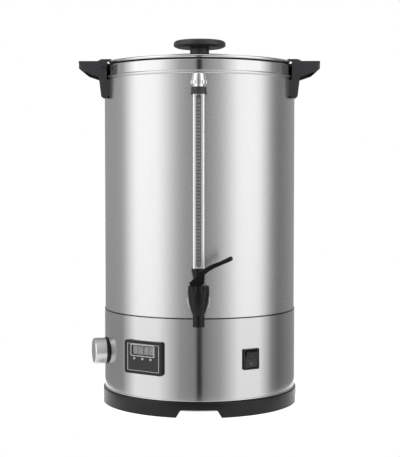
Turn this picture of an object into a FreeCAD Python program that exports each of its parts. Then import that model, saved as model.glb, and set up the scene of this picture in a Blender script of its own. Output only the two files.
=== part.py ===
import FreeCAD, Part
import math
import os
from FreeCAD import Vector

# A hot water urn, in millimetres. The tank's axis is Z, the floor is z = 0 and the tap looks along -Y.

# Shells
tank_radius = 150.0
tank_wall = 1.0
tank_skirt_bottom = 122.0
bead_bottom = 506.0
bead_height = 5.3
bead_rise = 1.8
rim_top = 527.3
rim_bend = 2.0
mouth_radius = 137.0
mouth_lip_depth = 6.0
floor_top = 140.0
floor_sheet = 1.2
floor_knuckle = 8.0
floor_upstand = 12.0
weld_gap = 0.05
housing_radius = 151.0
housing_wall = 0.8
housing_top = 147.6
housing_flange_radius = 138.0
housing_curl = 1.2

# Base
base_radius = 154.3
base_draft = 0.7
base_height = 23.6
base_wall = 3.0
base_edge_round = 2.0
base_shelf_radius = 132.0
base_shelf_thickness = 3.0
vent_height = 12.2
vent_top_width = 53.0
vent_bottom_width = 68.0
vent_corner = 3.5
vent_count = 4
boss_radius = 5.0
boss_circle = 137.5
boss_count = 4
plate_radius = 148.5
plate_bottom = 9.0
plate_sheet = 1.2
plate_slot_count = 24
plate_slot_width = 4.0
plate_slot_inner = 95.0
plate_slot_outer = 122.0
screw_radius = 1.75
screw_head_radius = 3.8
screw_head_height = 2.4
pan_flat_share = 0.6  # of a pan head's radius: its flat top
pan_shoulder_share = 0.92  # of its radius: where the shoulder's arc passes
pan_shoulder_height_share = 0.7  # of its height: where the shoulder's arc passes
pan_edge_height_share = 0.2  # of its height: its upright edge
screw_length = 9.0
screw_bite = 0.05
housing_screw_circle = 143.5

# Lid
lid_rim_radius = 151.0
lid_rim_height = 4.3
lid_gap = 1.6
lid_sheet = 1.0
lid_shoulder_radius = 137.5
lid_crown_rise = 17.1
lid_crown_fullness = 0.745
lid_seat_radius = 17.0
lid_skirt_radius = 134.4
lid_skirt_depth = 8.0
lid_skirt_bead = 0.9
lid_vent_radius = 2.0
lid_vent_place = 105.0
notch_radius = 146.0
notch_side_gap = 2.0
gasket_gap = 0.3
gasket_outer = 145.5
gasket_lip = 1.6
gasket_lip_depth = 5.5
knob_stem_radius = 15.2
knob_stem_height = 12.2
knob_disc_radius = 41.1
knob_disc_edge = 4.6
knob_disc_top = 25.3
knob_dish = 2.2
lid_screw_radius = 2.5
lid_screw_head = 5.0
lid_screw_length = 16.0

# Side handles
handle_half_length = 57.0
handle_reach = 185.4
handle_top = 532.6
handle_nose_top = 531.4
handle_nose_bottom = 521.2
handle_chin = 517.6
handle_chin_inset = 4.6
crotch_reach = 154.6
crotch_height = 508.6
leg_reach = 150.9
leg_bottom = 478.0
leg_tip = 475.6
leg_tip_reach = 146.9
handle_wall = 3.0
handle_corner = 4.0
bore_radius = 153.2
pad_gap = 0.1
pad_top = 504.0
pad_bottom = 479.5
pad_half_length = 59.0
lip_radius = 146.5
lip_clearance = 0.3
lip_thickness = 2.0
slot_height = 4.4
slot_length = 8.0
slot_depth = 1.6
slot_bottom = 520.0
handle_screw_spread = 13.0
handle_screw_height = 491.5
handle_screw_radius = 2.4
handle_screw_head = 4.6
handle_screw_head_height = 2.6

# Level gauge
gauge_y = -172.0
glass_radius = 5.5
glass_wall = 1.1
glass_bottom = 191.0
glass_top = 490.0
guard_width = 16.6
guard_sheet = 1.0
guard_front = 9.0
guard_back = 8.0
guard_bottom = 223.3
guard_top = 473.7
guard_slot_width = 7.4
guard_slot_end = 2.1
guard_corner = 2.6
scale_width = 12.0
scale_sheet = 0.8
scale_pitch = 5.05
scale_major = 5
scale_first = 233.5
scale_steps = 45
scale_tick = 0.9
scale_tick_rise = 0.25
collar_radius = 11.4
collar_top = 484.4
collar_flange = 2.2
collar_flange_rise = 0.8
collar_arm_width = 12.0
collar_arm_height = 7.0
neck_radius = 8.2
neck_top = 488.2
ring_radius = 11.5
ring_top = 493.4
ring_scallops = 8
ring_scallop_radius = 2.6
ring_scallop_depth = 0.8
cap_radius = 10.1
cap_top_radius = 9.0
cap_top = 504.5
cap_edge = 2.2
cup_top_radius = 10.7
cup_bottom_radius = 8.0
cup_bottom = 205.0
cup_rim = 4.0
seal_height = 4.0
seal_gap = 0.1

# Tap
tap_y = -195.0
shank_z = 174.0
shank_radius = 9.5
shank_bore = 7.0
shank_inner_end = -132.0
tee_radius = 11.0
tee_half_length = 7.0
tee_neck_radius = 6.9
tee_neck_top = 214.0
spigot_radius = 8.0
spigot_length = 4.0
spigot_bore = 5.8
spigot_bore_rise = 1.2
flange_radius = 18.5
flange_edge = 3.0
flange_depth = 7.5
washer_thickness = 1.5
nut_flat_radius = 14.0
nut_thickness = 6.0
thread_gap = 0.1
spout_radius = 8.65
spout_bore = 6.2
spout_bottom = 141.3
spout_lip = 0.35
spout_lip_height = 1.6
spout_top = 158.0
cone_mid_radius = 13.0
cone_mid_height = 171.0
body_top_radius = 15.5
body_top = 187.7
seat_height = 168.2
chamber_radius = 10.4
bonnet_gap = 0.3
bonnet_radius = 15.7
bonnet_top_radius = 15.0
bonnet_top = 200.3
bonnet_edge = 1.2
bonnet_spigot_depth = 5.0
bonnet_scallops = 8
bonnet_scallop_radius = 4.6
bonnet_scallop_depth = 2.2
bonnet_scallop_height = 9.5
spring_room_radius = 8.2
spring_room_top = 197.0
stem_radius = 3.5
running_gap = 0.08
tongue_half = 2.0
tongue_depth = 2.4
tongue_gap = 0.25
cam_gap = 0.3
cam_radius = 5.6
cam_offset_x = 2.6
cam_offset_z = 0.95
pin_radius = 2.0
lever_half_width = 5.5
lever_toe = 13.4
lever_reach = 48.8
lever_tip_rise = 33.75
lever_waist = 3.9
lever_pad = 6.2
cup_seal_radius = 9.2
cup_seal_thickness = 2.0
cup_hub_radius = 6.8
cup_hub_height = 8.1
stem_button_radius = 4.5
stem_button_height = 1.5
spring_radius = 5.6
spring_wire = 0.5
spring_turns = 7

# Controller on the lower housing
controller_angle = -33.0
controller_width = 69.0
controller_bottom = 60.4
controller_top = 110.7
controller_rise = 2.6
controller_corner = 4.0
face_margin = 4.6
face_sheet = 0.9
face_recess = 1.2
display_width = 42.0
display_bottom = 88.3
display_top = 104.0
display_shift = -1.0
case_depth = 24.0
case_wall = 1.8
case_inset = 5.0
button_radius = 1.9
button_height = 83.7
button_places = (-16.0, -1.0, 14.0)
button_travel = 0.6
button_proud = 0.9
button_gap = 0.3
button_collar = 1.0
button_collar_thickness = 0.8
digit_count = 4

# Rocker switch
switch_angle = 30.7
switch_width = 28.0
switch_bottom = 68.6
switch_top = 99.9
switch_rise = 2.4
switch_corner = 2.0
rocker_width = 20.0
rocker_radius = 13.3
rocker_gap = 0.35
rocker_pivot_depth = 5.0
rocker_face = 4.8
rocker_dish = 8.0
rocker_throw = 16.0
rocker_back = 3.0
pivot_radius = 1.6
switch_body_width = 24.6
switch_body_depth = 26.0
tab_width = 6.3
tab_sheet = 0.8
tab_length = 8.0

# Side knob
knob_angle = -74.6
knob_z = 83.0
knob_radius = 20.0
knob_face = 171.5
knob_back = 153.6
knob_skirt_wall = 2.5
knob_web = 5.0
knob_chamfer = 1.5
knob_ring_radius = 21.0
knob_ring_rise = 1.8
shaft_radius = 3.0
bush_radius = 4.5
control_radius = 14.0
control_depth = 12.0
control_gap = 2.0

# Mains inlet at the back
inlet_z = 62.0
inlet_flange_width = 50.0
inlet_flange_height = 24.0
inlet_flange_rise = 3.0
inlet_corner = 3.0
inlet_body_width = 28.0
inlet_body_height = 20.5
inlet_body_depth = 24.0
inlet_cavity_width = 24.4
inlet_cavity_height = 16.6
inlet_cavity_depth = 17.0
inlet_cavity_chamfer = 4.0
inlet_pin_pitch = 7.0
inlet_pin_width = 2.0
inlet_pin_height = 4.0
inlet_pin_length = 15.0
inlet_earth_rise = 4.0
inlet_screw_pitch = 20.0

# Works inside
heater_radius = 4.0
heater_port_x = 45.0
heater_port_y = 50.0
heater_level = 162.0
heater_bend = 14.0
heater_turn_y = -30.0
heater_tail_bottom = 112.0
terminal_radius = 1.6
terminal_length = 8.0
gland_flange_radius = 9.0
gland_flange_height = 3.0
gland_thread_radius = 6.2
gland_thread_length = 9.0
gland_nut_radius = 9.0
gland_nut_height = 4.0
seal_sheet = 1.5
port_gap = 0.15
probe_x = 0.0
probe_y = 70.0
probe_radius = 3.0
probe_top = 186.0
probe_bottom = 118.0
probe_collar_radius = 6.0
probe_collar_height = 3.0
probe_nut_radius = 6.5
probe_nut_height = 4.0
stat_x = 70.0
stat_y = -35.0
stat_radius = 9.0
stat_height = 7.0
stat_tab_height = 6.0
clip_width = 8.0
clip_sheet = 1.0
clip_foot = 8.0
board_x = 0.0
board_y = 10.0
board_length = 92.0
board_width = 62.0
board_sheet = 1.6
board_height = 22.0
post_radius = 3.0
post_inset = 5.0
relay_size = (20.0, 16.0, 15.0)
relay_place = (-27.0, 12.0)
transformer_size = (30.0, 25.0, 24.0)
transformer_place = (22.0, 10.0)
terminal_size = (46.0, 16.0, 14.0)
terminal_place = (0.0, 68.0)
terminal_ways = 5
terminal_mouth = 2.2

# Levels and places that follow from the sizes above
bead_top = bead_bottom + bead_height
inner_radius = tank_radius - tank_wall
floor_outer = inner_radius - weld_gap
floor_under = floor_top - floor_sheet
lid_bottom = rim_top + lid_gap
lid_rim_top = lid_bottom + lid_rim_height
lid_crown = lid_bottom + lid_crown_rise
lip_bottom = lid_rim_top + lip_clearance
lip_top = lip_bottom + lip_thickness
plate_top = plate_bottom + plate_sheet
foot_bottom = bonnet_top + cam_gap
pin_z = foot_bottom + cam_radius - cam_offset_z
board_z = plate_top + board_height
bonnet_bottom = body_top + bonnet_gap
cup_bottom_z = seat_height + gasket_gap
cup_hub_top = cup_bottom_z + cup_hub_height
far = 400.0


# Small helpers

def box(x0, x1, y0, y1, z0, z1):
    return Part.makeBox(x1 - x0, y1 - y0, z1 - z0, Vector(x0, y0, z0))


def rod(radius, start, end):
    axis = Vector(*end) - Vector(*start)
    return Part.makeCylinder(radius, axis.Length, Vector(*start), axis)


def pipe(outer, inner, start, end):
    return rod(outer, start, end).cut(rod(inner, start, end))


def upright(radius, x, y, z0, z1):
    return rod(radius, (x, y, z0), (x, y, z1))


def outline(path, place):
    """Close a path of points and (middle, end) arcs into a flat face."""
    start = place(*path[0])
    here = start
    edges = []
    for step in path[1:]:
        if isinstance(step[0], tuple):
            middle = place(*step[0])
            end = place(*step[1])
            edges.append(Part.Arc(here, middle, end).toShape())
        else:
            end = place(*step)
            edges.append(Part.LineSegment(here, end).toShape())
        here = end
    if here.distanceToPoint(start) > 1e-6:
        edges.append(Part.LineSegment(here, start).toShape())
    return Part.Face(Part.Wire(edges))


def turned(path, x=0.0, y=0.0):
    """Turn a path of (radius, height) steps round the upright line through x, y."""
    face = outline(path, lambda r, z: Vector(x + r, y, z))
    return face.revolve(Vector(x, y, 0), Vector(0, 0, 1), 360)


def turned_forward(path, z):
    """Turn a path of (radius, y) steps round the line along Y at height z."""
    face = outline(path, lambda r, y: Vector(r, y, z))
    return face.revolve(Vector(0, 0, z), Vector(0, 1, 0), 360)


def side_plate(path, y0, y1):
    """Extrude a path of (x, z) steps along Y."""
    face = outline(path, lambda x, z: Vector(x, y0, z))
    return face.extrude(Vector(0, y1 - y0, 0))


def end_plate(path, x0, x1):
    """Extrude a path of (y, z) steps along X."""
    face = outline(path, lambda y, z: Vector(x0, y, z))
    return face.extrude(Vector(x1 - x0, 0, 0))


def flat_plate(path, z0, z1):
    """Extrude a path of (x, y) steps along Z."""
    face = outline(path, lambda x, y: Vector(x, y, z0))
    return face.extrude(Vector(0, 0, z1 - z0))


def polygon(sides, radius, turn=0.0):
    points = []
    for i in range(sides):
        a = math.radians(turn + 360.0 * i / sides)
        points.append((radius * math.cos(a), radius * math.sin(a)))
    return points


def about(shape, angle):
    """Turn a shape round the tank's axis, so that what looks along -Y looks that many degrees to the right."""
    turned_shape = shape.copy()
    turned_shape.rotate(Vector(0, 0, 0), Vector(0, 0, 1), angle)
    return turned_shape


def around(shape, count, first=0.0):
    copies = []
    for i in range(count):
        copies.append(about(shape, first + 360.0 * i / count))
    return copies


def joined(shapes):
    return shapes[0].fuse(shapes[1:]).removeSplitter()


def rounded_panel(width, z0, z1, depth0, depth1, corner):
    """A flat panel that looks along -Y, from depth0 to depth1 out from the tank's axis."""
    panel = box(-width / 2, width / 2, -depth1, -depth0, z0, z1)
    edges = [e for e in panel.Edges if abs(e.tangentAt(e.FirstParameter).y) > 0.9]
    return panel.makeFillet(corner, edges)


def crown_middle(radius, edge_z, top_z):
    """The middle of a crown's arc from its edge to its top on the axis, level at the top."""
    rise = top_z - edge_z
    ball = (radius * radius + rise * rise) / (2 * rise)
    half = math.asin(radius / ball) / 2
    return ball * math.sin(half), top_z - ball * (1 - math.cos(half))


def soften(shape, radius, test):
    """Round the edges that the test picks by their centre."""
    edges = [e for e in shape.Edges if test(e.CenterOfMass)]
    return shape.makeFillet(radius, edges)


parts = {}


def keep(name, *solids):
    pieces = []
    for shape in solids:
        pieces.extend(shape.Solids)
    parts[name] = pieces[0] if len(pieces) == 1 else Part.makeCompound(pieces)


# Base ring with its vents, and the plate that closes the works from below

def vent_cutter():
    half_top = vent_top_width / 2
    half_bottom = vent_bottom_width / 2
    path = [(-half_bottom, 0), (-half_top, vent_height), (half_top, vent_height), (half_bottom, 0)]
    wedge = side_plate(path, -base_radius - 10, -base_radius + 16)
    wedge = soften(wedge, vent_corner, lambda c: c.z > vent_height - 0.01 and abs(c.x) > half_top - 0.01)
    return wedge


def base_ring():
    top_radius = base_radius - base_draft
    inner = base_radius - base_wall
    corner = base_height - base_edge_round
    slant = base_edge_round * (1 - math.sqrt(0.5))
    shelf_under = base_height - base_shelf_thickness
    ring = turned([
        (inner, 0),
        (base_radius, 0),
        (top_radius, corner),
        ((top_radius - slant, base_height - slant), (top_radius - base_edge_round, base_height)),
        (base_shelf_radius, base_height),
        (base_shelf_radius, shelf_under),
        (inner - base_draft, shelf_under),
    ])
    boss = upright(boss_radius, 0, -boss_circle, plate_top, shelf_under)
    ring = joined([ring] + around(boss, boss_count, 45))
    for cutter in around(vent_cutter(), vent_count):
        ring = ring.cut(cutter)
    plate_hole = upright(screw_radius + screw_bite, 0, -boss_circle, 0, plate_bottom + screw_length)
    housing_hole = upright(screw_radius + screw_bite, 0, -housing_screw_circle, shelf_under - 1, base_height + 1)
    for cutter in around(plate_hole, boss_count, 45) + around(housing_hole, boss_count, 22.5):
        ring = ring.cut(cutter)
    return ring


def bottom_plate():
    plate = upright(plate_radius, 0, 0, plate_bottom, plate_top)
    half = plate_slot_width / 2
    slot = box(-half, half, -plate_slot_outer, -plate_slot_inner, plate_bottom - 1, plate_top + 1)
    slot = slot.fuse([upright(half, 0, -plate_slot_outer, plate_bottom - 1, plate_top + 1),
                      upright(half, 0, -plate_slot_inner, plate_bottom - 1, plate_top + 1)])
    hole = upright(screw_radius + port_gap, 0, -boss_circle, plate_bottom - 1, plate_top + 1)
    slots = around(slot, plate_slot_count, 180.0 / plate_slot_count)
    return plate.cut(slots + around(hole, boss_count, 45))


def screw_up(x, y, seat, radius, head_radius, head_height, length):
    """A pan head screw that stands up from its seat."""
    top = seat - head_height
    shoulder = (head_radius * pan_shoulder_share, seat - head_height * pan_shoulder_height_share)
    edge = (head_radius, seat - head_height * pan_edge_height_share)
    head = turned([(0, top), (head_radius * pan_flat_share, top), (shoulder, edge),
                   (head_radius, seat), (0, seat)], x, y)
    return head.fuse(upright(radius, x, y, seat, seat + length)).removeSplitter()


def base_screws():
    screw = screw_up(0, -boss_circle, plate_bottom, screw_radius, screw_head_radius,
                     screw_head_height, screw_length)
    return around(screw, boss_count, 45)


def housing_screws():
    seat = base_height - base_shelf_thickness
    screw = screw_up(0, -housing_screw_circle, seat, screw_radius, screw_head_radius,
                     screw_head_height, base_shelf_thickness + 4)
    return around(screw, boss_count, 22.5)


# Lower housing

def panel_opening(width, z0, z1):
    half = width / 2
    return box(-half, half, -housing_radius - 8, -housing_radius + 12, z0, z1)


def lower_housing():
    inner = housing_radius - housing_wall
    flange_top = base_height + housing_wall
    bead = housing_curl
    sleeve = turned([
        (housing_flange_radius, base_height),
        (inner, base_height),
        (housing_radius, base_height),
        ((housing_radius + bead, base_height + bead), (housing_radius, base_height + 2 * bead)),
        (housing_radius, housing_top),
        (inner, housing_top),
        (inner, flange_top),
        (housing_flange_radius, flange_top),
    ])
    case_half = controller_width - 2 * case_inset
    cuts = [about(panel_opening(case_half + 2 * port_gap, controller_bottom + case_inset - port_gap,
                                controller_top - case_inset + port_gap), controller_angle)]
    body_half = rocker_radius + rocker_gap + 1.0
    middle = (switch_bottom + switch_top) / 2
    cuts.append(about(panel_opening(switch_body_width + 2 * port_gap, middle - body_half - port_gap,
                                    middle + body_half + port_gap), switch_angle))
    cuts.append(about(rod(bush_radius + port_gap, (0, -housing_radius - 8, knob_z),
                          (0, -housing_radius + 12, knob_z)), knob_angle))
    half_height = inlet_body_height / 2 + port_gap
    cuts.append(about(panel_opening(inlet_body_width + 2 * port_gap, inlet_z - half_height,
                                    inlet_z + half_height), 180))
    for side in (-1, 1):
        x = side * inlet_screw_pitch
        cuts.append(about(rod(screw_radius + port_gap, (x, -housing_radius - 8, inlet_z),
                              (x, -housing_radius + 12, inlet_z)), 180))
    hole = upright(screw_radius + port_gap, 0, -housing_screw_circle, base_height - 1, flange_top + 1)
    return sleeve.cut(cuts + around(hole, boss_count, 22.5))


# Tank

def handle_screw_axis(side, spread):
    """The direction from the tank's axis to one handle screw."""
    a = math.radians(spread)
    return Vector(side * math.cos(a), math.sin(a), 0)


def handle_screw_places():
    places = []
    for side in (-1, 1):
        for spread in (-handle_screw_spread, handle_screw_spread):
            places.append(handle_screw_axis(side, spread))
    return places


def along(direction, distance, z):
    return (direction.x * distance, direction.y * distance, z)


def tank():
    outer = tank_radius
    middle = bead_bottom + bead_height / 2
    bend = rim_bend
    cut = bend * (1 - math.sqrt(0.5))
    thin = tank_wall
    lip_inner = mouth_radius
    lip_outer = mouth_radius + tank_wall
    wall = turned([
        (inner_radius, tank_skirt_bottom),
        (outer, tank_skirt_bottom),
        (outer, bead_bottom),
        ((outer + bead_rise, middle), (outer, bead_top)),
        (outer, rim_top - bend),
        ((outer - cut, rim_top - cut), (outer - bend, rim_top)),
        (lip_inner, rim_top),
        (lip_inner, rim_top - mouth_lip_depth),
        (lip_outer, rim_top - mouth_lip_depth),
        (lip_outer, rim_top - thin),
        (outer - bend, rim_top - thin),
        (inner_radius, rim_top - bend),
        (inner_radius, bead_top),
        ((inner_radius + bead_rise, middle), (inner_radius, bead_bottom)),
    ])
    cuts = [rod(shank_radius + 0.4, (0, -tank_radius - 5, shank_z), (0, -inner_radius + 9, shank_z))]
    arm_z = collar_arm_z()
    cuts.append(rod(screw_radius + port_gap, (0, -tank_radius - 5, arm_z), (0, -inner_radius + 9, arm_z)))
    for direction in handle_screw_places():
        cuts.append(rod(handle_screw_radius + port_gap, along(direction, inner_radius - 9, handle_screw_height),
                        along(direction, tank_radius + 5, handle_screw_height)))
    return wall.cut(cuts)


def tank_floor():
    knuckle = floor_knuckle
    inside = knuckle - floor_sheet
    slant = math.sqrt(0.5)
    centre_r = floor_outer - knuckle
    centre_z = floor_under + knuckle
    top = floor_top + floor_upstand
    dish = turned([
        (0, floor_under),
        (centre_r, floor_under),
        ((centre_r + knuckle * slant, centre_z - knuckle * slant), (floor_outer, centre_z)),
        (floor_outer, top),
        (floor_outer - floor_sheet, top),
        (floor_outer - floor_sheet, centre_z),
        ((centre_r + inside * slant, centre_z - inside * slant), (centre_r, floor_top)),
        (0, floor_top),
    ])
    cuts = [upright(probe_radius + port_gap, probe_x, probe_y, floor_under - 1, floor_top + 1)]
    for side in (-1, 1):
        cuts.append(upright(gland_thread_radius + port_gap, side * heater_port_x, heater_port_y,
                            floor_under - 1, floor_top + 1))
    return dish.cut(cuts)


# Heater and sensors

def heater_tube():
    """One bent tube: two tails up through the floor and a flat hairpin above it."""
    x = heater_port_x
    y = heater_port_y
    slant = heater_bend * (1 - math.sqrt(0.5))
    low = heater_level - heater_bend
    edges = []
    for side in (-1, 1):
        tail = Part.LineSegment(Vector(side * x, y, heater_tail_bottom), Vector(side * x, y, low)).toShape()
        bend = Part.Arc(Vector(side * x, y, low), Vector(side * x, y - slant, heater_level - slant),
                        Vector(side * x, y - heater_bend, heater_level)).toShape()
        run = Part.LineSegment(Vector(side * x, y - heater_bend, heater_level),
                               Vector(side * x, heater_turn_y, heater_level)).toShape()
        edges.append([tail, bend, run])
    turn = Part.Arc(Vector(-x, heater_turn_y, heater_level), Vector(0, heater_turn_y - x, heater_level),
                    Vector(x, heater_turn_y, heater_level)).toShape()
    wire = Part.Wire(edges[0] + [turn] + edges[1][::-1])
    ring = Part.Wire(Part.makeCircle(heater_radius, Vector(-x, y, heater_tail_bottom), Vector(0, 0, 1)))
    tube = wire.makePipeShell([ring], True, False)
    pieces = [tube]
    for side in (-1, 1):
        pieces.append(upright(terminal_radius, side * x, y, heater_tail_bottom - terminal_length,
                              heater_tail_bottom))
    return pieces[0].fuse(pieces[1:])


def hex_nut(x, y, z0, z1, radius, bore):
    points = [(x + px, y + py) for px, py in polygon(6, radius)]
    return flat_plate(points, z0, z1).cut(upright(bore, x, y, z0 - 1, z1 + 1))


def at_ports(make):
    return [make(side * heater_port_x) for side in (-1, 1)]


def heater_glands():
    flange_bottom = floor_top + seal_sheet
    bore = heater_radius + port_gap

    def gland(x):
        body = upright(gland_flange_radius, x, heater_port_y, flange_bottom, flange_bottom + gland_flange_height)
        thread = upright(gland_thread_radius, x, heater_port_y, flange_bottom - gland_thread_length, flange_bottom)
        return body.fuse(thread).removeSplitter().cut(
            upright(bore, x, heater_port_y, floor_under - 20, floor_top + 20))
    return at_ports(gland)


def heater_seals():
    return at_ports(lambda x: pipe(gland_flange_radius, gland_thread_radius + thread_gap,
                                   (x, heater_port_y, floor_top), (x, heater_port_y, floor_top + seal_sheet)))


def heater_nuts():
    return at_ports(lambda x: hex_nut(x, heater_port_y, floor_under - gland_nut_height, floor_under,
                                      gland_nut_radius, gland_thread_radius + thread_gap))


def probe_nut():
    return hex_nut(probe_x, probe_y, floor_under - probe_nut_height, floor_under, probe_nut_radius,
                   probe_radius + thread_gap)


def temperature_probe():
    probe = turned([
        (0, probe_bottom),
        (probe_radius, probe_bottom),
        (probe_radius, floor_top),
        (probe_collar_radius, floor_top),
        (probe_collar_radius, floor_top + probe_collar_height),
        (probe_radius, floor_top + probe_collar_height),
        (probe_radius, probe_top - probe_radius),
        ((probe_radius * math.sqrt(0.5), probe_top - probe_radius * (1 - math.sqrt(0.5))), (0, probe_top)),
    ], probe_x, probe_y)
    return probe


def boil_dry_thermostat():
    top = floor_under
    body = upright(stat_radius, stat_x, stat_y, top - stat_height, top)
    for side in (-1, 1):
        x = stat_x + side * stat_radius / 2
        body = body.fuse(box(x - 0.4, x + 0.4, stat_y - 3, stat_y + 3, top - stat_height - stat_tab_height,
                             top - stat_height))
    return body


def thermostat_clip():
    """A strap that holds the thermostat up against the tank floor, with a foot each side."""
    half = clip_width / 2
    inner = stat_radius + 0.5
    outer = inner + clip_sheet
    low = floor_under - stat_height
    foot = outer + clip_foot
    path = [(-foot, floor_under), (-foot, floor_under - clip_sheet), (-outer, floor_under - clip_sheet),
            (-outer, low - clip_sheet), (outer, low - clip_sheet), (outer, floor_under - clip_sheet),
            (foot, floor_under - clip_sheet), (foot, floor_under), (inner, floor_under), (inner, low),
            (-inner, low), (-inner, floor_under)]
    return end_plate([(stat_y + y, z) for y, z in path], stat_x - half, stat_x + half)


# Board and terminals on the bottom plate

def board_corners():
    corners = []
    for sx in (-1, 1):
        for sy in (-1, 1):
            corners.append((board_x + sx * (board_length / 2 - post_inset),
                            board_y + sy * (board_width / 2 - post_inset)))
    return corners


def board_posts():
    posts = []
    for x, y in board_corners():
        post = upright(post_radius, x, y, plate_top, board_z)
        post = post.fuse(upright(post_radius / 2, x, y, board_z, board_z + board_sheet + 2))
        posts.append(post.removeSplitter())
    return posts


def control_board():
    board = box(board_x - board_length / 2, board_x + board_length / 2, board_y - board_width / 2,
                board_y + board_width / 2, board_z, board_z + board_sheet)
    holes = [upright(post_radius / 2 + port_gap, x, y, board_z - 1, board_z + board_sheet + 1)
             for x, y in board_corners()]
    return board.cut(holes)


def block(place, size, bottom):
    x = board_x + place[0]
    y = board_y + place[1]
    return box(x - size[0] / 2, x + size[0] / 2, y - size[1] / 2, y + size[1] / 2, bottom, bottom + size[2])


def board_relay():
    return block(relay_place, relay_size, board_z + board_sheet)


def board_transformer():
    """A laminated core with its winding standing out both sides."""
    core = block(transformer_place, transformer_size, board_z + board_sheet)
    length, width, height = transformer_size
    winding = block(transformer_place, (length * 0.55, width + 8, height - 6), board_z + board_sheet + 3)
    return core.fuse(winding).removeSplitter()


def terminal_block():
    bottom = plate_top
    body = block(terminal_place, terminal_size, bottom)
    pitch = terminal_size[0] / terminal_ways
    x0 = board_x + terminal_place[0] - terminal_size[0] / 2
    y = board_y + terminal_place[1]
    for i in range(terminal_ways):
        x = x0 + (i + 0.5) * pitch
        z = bottom + terminal_size[2] / 2
        body = body.cut(rod(terminal_mouth, (x, y - terminal_size[1], z), (x, y + terminal_size[1], z)))
        body = body.cut(upright(terminal_mouth * 0.8, x, y, z, bottom + terminal_size[2] + 1))
    return body


# Controller

def in_front(shape):
    return about(shape, controller_angle)


def button_rods(radius, depth0, depth1):
    return [rod(radius, (x, -depth0, button_height), (x, -depth1, button_height)) for x in button_places]


def window_box(clearance, depth0, depth1):
    half = display_width / 2 + clearance
    return box(display_shift - half, display_shift + half, -depth1, -depth0,
               display_bottom - clearance, display_top + clearance)


def controller_levels():
    """Distances from the tank's axis: the case's front, the floor of its recess and the face's front."""
    front = housing_radius + controller_rise
    recess = front - face_recess
    return front, recess, recess + face_sheet


def controller_case():
    front, recess, _ = controller_levels()
    seat = rounded_panel(controller_width, controller_bottom, controller_top, housing_radius - 12, front,
                         controller_corner)
    seat = soften(seat, 0.8, lambda c: c.y < -front + 0.01)
    seat = seat.cut(upright(housing_radius + pad_gap, 0, 0, controller_bottom - 1, controller_top + 1))
    rear_half = controller_width / 2 - case_inset
    rear = box(-rear_half, rear_half, -recess, -recess + case_depth, controller_bottom + case_inset,
               controller_top - case_inset)
    case = seat.fuse(rear).removeSplitter()
    room = box(-rear_half + case_wall, rear_half - case_wall, -recess + case_wall, -recess + case_depth + 1,
               controller_bottom + case_inset + case_wall, controller_top - case_inset - case_wall)
    pocket = rounded_panel(controller_width - 2 * face_margin, controller_bottom + face_margin,
                           controller_top - face_margin, recess, front + 1, 1.5)
    window = window_box(0.2, recess - 6, front + 1)
    return in_front(case.cut([room, pocket, window] + button_rods(button_radius + button_gap, recess - 8, front)))


def controller_face():
    _, recess, face = controller_levels()
    gap = port_gap
    plate = rounded_panel(controller_width - 2 * face_margin - 2 * gap, controller_bottom + face_margin + gap,
                          controller_top - face_margin - gap, recess, face, 1.4)
    holes = button_rods(button_radius + button_gap, recess - 1, face + 1)
    return in_front(plate.cut([window_box(0.1, recess - 1, face + 1)] + holes))


def display_lens():
    _, recess, face = controller_levels()
    lens = window_box(0.0, recess - case_wall, face + 0.3)
    return in_front(soften(lens, 0.4, lambda c: c.y < -face - 0.29))


def display_module():
    """A block with four upright digit wells, close behind the lens."""
    _, recess, _ = controller_levels()
    back = recess - case_wall
    half = display_width / 2 - 1
    module = box(display_shift - half, display_shift + half, -back, -back + 8, display_bottom + 1, display_top - 1)
    pitch = 2 * half / digit_count
    wells = []
    for i in range(digit_count):
        x = display_shift - half + (i + 0.5) * pitch
        wells.append(box(x - pitch * 0.36, x + pitch * 0.36, -back - 1, -back + 0.4,
                         display_bottom + 2.2, display_top - 2.2))
    return in_front(module.cut(wells))


def board_front():
    """How far out from the axis the controller's own board lies, under the buttons' travel."""
    _, recess, _ = controller_levels()
    return recess - case_wall - 10.0


def controller_board():
    front = board_front()
    rear_half = controller_width / 2 - case_inset - case_wall - gasket_gap
    board = box(-rear_half, rear_half, -front, -front + board_sheet,
                controller_bottom + case_inset + case_wall + gasket_gap,
                controller_top - case_inset - case_wall - gasket_gap)
    pieces = [board]
    half = display_width / 2 - 1
    _, recess, _ = controller_levels()
    back = recess - case_wall
    for side in (-1, 1):
        x = display_shift + side * (half - 2)
        for z in (display_bottom + 3, display_top - 3):
            pieces.append(rod(0.8, (x, -front, z), (x, -back + 8, z)))
    stop = button_inner_end() - gasket_gap - button_travel
    for x in button_places:
        pieces.append(box(x - 3, x + 3, -front - 4, -front, button_height - 3, button_height + 3))
        pieces.append(rod(1.4, (x, -front - 4, button_height), (x, -stop, button_height)))
    return in_front(joined(pieces))


def button_inner_end():
    _, recess, _ = controller_levels()
    return recess - case_wall - button_travel - 0.5 - button_collar_thickness


def button(x):
    _, recess, face = controller_levels()
    outer = face + button_proud
    inner = button_inner_end()
    cap = rod(button_radius, (x, -inner, button_height), (x, -outer, button_height))
    cap = soften(cap, 0.4, lambda c: c.y < -outer + 0.01)
    collar_out = inner + button_collar_thickness
    collar = rod(button_radius + button_collar, (x, -inner, button_height), (x, -collar_out, button_height))
    return in_front(cap.fuse(collar).removeSplitter())


# Rocker switch

def switch_pivot():
    middle = (switch_bottom + switch_top) / 2
    return housing_radius + switch_rise - rocker_pivot_depth, middle


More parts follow.
